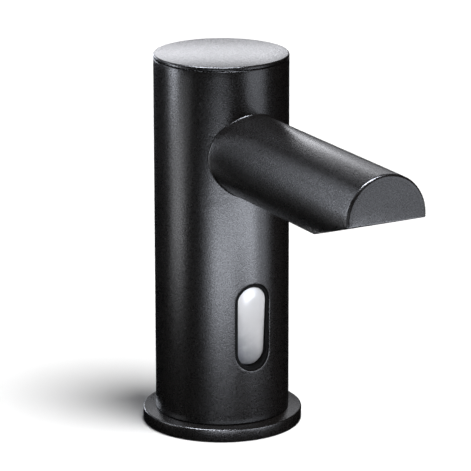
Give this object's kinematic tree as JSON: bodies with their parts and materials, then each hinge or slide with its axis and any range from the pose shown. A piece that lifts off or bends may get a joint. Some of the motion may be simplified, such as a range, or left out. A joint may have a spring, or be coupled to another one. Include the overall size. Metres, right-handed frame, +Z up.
{
  "type": "automatic soap dispenser",
  "caption": "Deck-mounted touch-free soap dispenser: a round black column with a lift-off lid, a horizontal round spout cut on a slope, a sensor window and a threaded shank.",
  "frame": {"origin": "centre of the flange underside, on top of the deck and on the axis of the deck hole", "axes": "+Z up along the column, -Y to the front along the spout, +X to the right seen from behind the spout tip looking at the column"},
  "size_m": [0.0606, 0.1522, 0.2089],
  "materials": {
    "black_coat": "satin black coating with a fine grain",
    "black_rubber": "matt moulded rubber",
    "plain_steel": "turned stainless steel",
    "shank_brass": "machined brass",
    "black_plastic": "moulded black plastic",
    "white_plastic": "moulded off-white plastic",
    "rotor_plastic": "moulded blue plastic",
    "board_laminate": "green circuit board",
    "grey_lens": "glossy grey sensor lens",
    "clear_plastic": "milky translucent plastic",
    "component_black": "moulded component case"
  },
  "bodies": {
    "base": {"base_flange": "black_coat", "base_gasket": "black_rubber", "board_capacitor": "component_black", "board_chip": "component_black", "board_connector": "black_plastic", "board_screw_1": "plain_steel", "board_screw_2": "plain_steel", "body_column": "black_coat", "body_set_screw": "plain_steel", "chassis": "white_plastic", "chassis_screw_1": "plain_steel", "chassis_screw_2": "plain_steel", "control_board": "board_laminate", "gear_motor": "plain_steel", "gearbox_case": "black_plastic", "hose_coupler": "white_plastic", "hose_elbow": "white_plastic", "inlet_elbow": "white_plastic", "inlet_fitting": "white_plastic", "inlet_hose": "clear_plastic", "ir_emitter": "component_black", "ir_receiver": "component_black", "mounting_shank": "shank_brass", "nozzle_body": "black_plastic", "nozzle_oring": "black_rubber", "nozzle_plate": "black_coat", "outlet_hose": "clear_plastic", "power_lead": "black_plastic", "power_socket": "black_plastic", "pump_cover": "white_plastic", "pump_housing": "white_plastic", "pump_screw_1": "plain_steel", "pump_screw_2": "plain_steel", "pump_tube": "clear_plastic", "sensor_board": "board_laminate", "sensor_board_screw_1": "plain_steel", "sensor_board_screw_2": "plain_steel", "sensor_housing": "black_plastic", "sensor_lead": "black_plastic", "sensor_window": "grey_lens", "spout_end_plate": "black_coat", "spout_tube": "black_coat", "status_led": "clear_plastic", "valve_spring": "plain_steel", "window_gasket": "black_rubber"},
    "cap": {"top_cap": "black_coat", "top_cap_oring": "black_rubber"},
    "rotor": {"pump_rotor": "rotor_plastic", "drive_shaft": "plain_steel", "roller_pin_1": "plain_steel", "roller_pin_2": "plain_steel", "roller_pin_3": "plain_steel"},
    "roller_a": {"roller_1": "clear_plastic"},
    "roller_b": {"roller_2": "clear_plastic"},
    "roller_c": {"roller_3": "clear_plastic"},
    "valve": {"valve_ball": "plain_steel"},
    "washers": {"rubber_washer": "black_rubber", "steel_washer": "plain_steel"},
    "nut": {"mounting_nut": "black_plastic"}
  },
  "joints": [
    {"name": "cap_lift", "type": "slide", "parent": "base", "child": "cap", "axis": [0, 0, 1], "range_m": [0, 0.025]},
    {"name": "rotor_spin", "type": "hinge", "parent": "base", "child": "rotor", "pos_m": [0, 0.003, 0.105], "axis": [0, 0, 1], "continuous": true},
    {"name": "roller_a_spin", "type": "hinge", "parent": "rotor", "child": "roller_a", "pos_m": [0, 0.0126, 0.105], "axis": [0, 0, 1], "continuous": true},
    {"name": "roller_b_spin", "type": "hinge", "parent": "rotor", "child": "roller_b", "pos_m": [-0.00831, -0.0018, 0.105], "axis": [0, 0, 1], "continuous": true},
    {"name": "roller_c_spin", "type": "hinge", "parent": "rotor", "child": "roller_c", "pos_m": [0.00831, -0.0018, 0.105], "axis": [0, 0, 1], "continuous": true},
    {"name": "valve_open", "type": "slide", "parent": "base", "child": "valve", "axis": [0, -0.318, -0.9481], "range_m": [0, 0.0015], "stiffness_N_per_m": 50, "deforming": ["valve_spring"]},
    {"name": "nut_travel", "type": "slide", "parent": "base", "child": "washers", "axis": [0, 0, 1], "range_m": [-0.0121, 0.0201]},
    {"name": "nut_spin", "type": "hinge", "parent": "washers", "child": "nut", "pos_m": [0, 0, -0.0365], "axis": [0, 0, 1], "range_deg": [-2880, 4800]}
  ],
  "couplings": [
    {"joint": "roller_a_spin", "follows": "rotor_spin", "ratio": -3.7429},
    {"joint": "roller_b_spin", "follows": "rotor_spin", "ratio": -3.7429},
    {"joint": "roller_c_spin", "follows": "rotor_spin", "ratio": -3.7429},
    {"joint": "nut_travel", "follows": "nut_spin", "m_per_rad": 0.00023873}
  ]
}
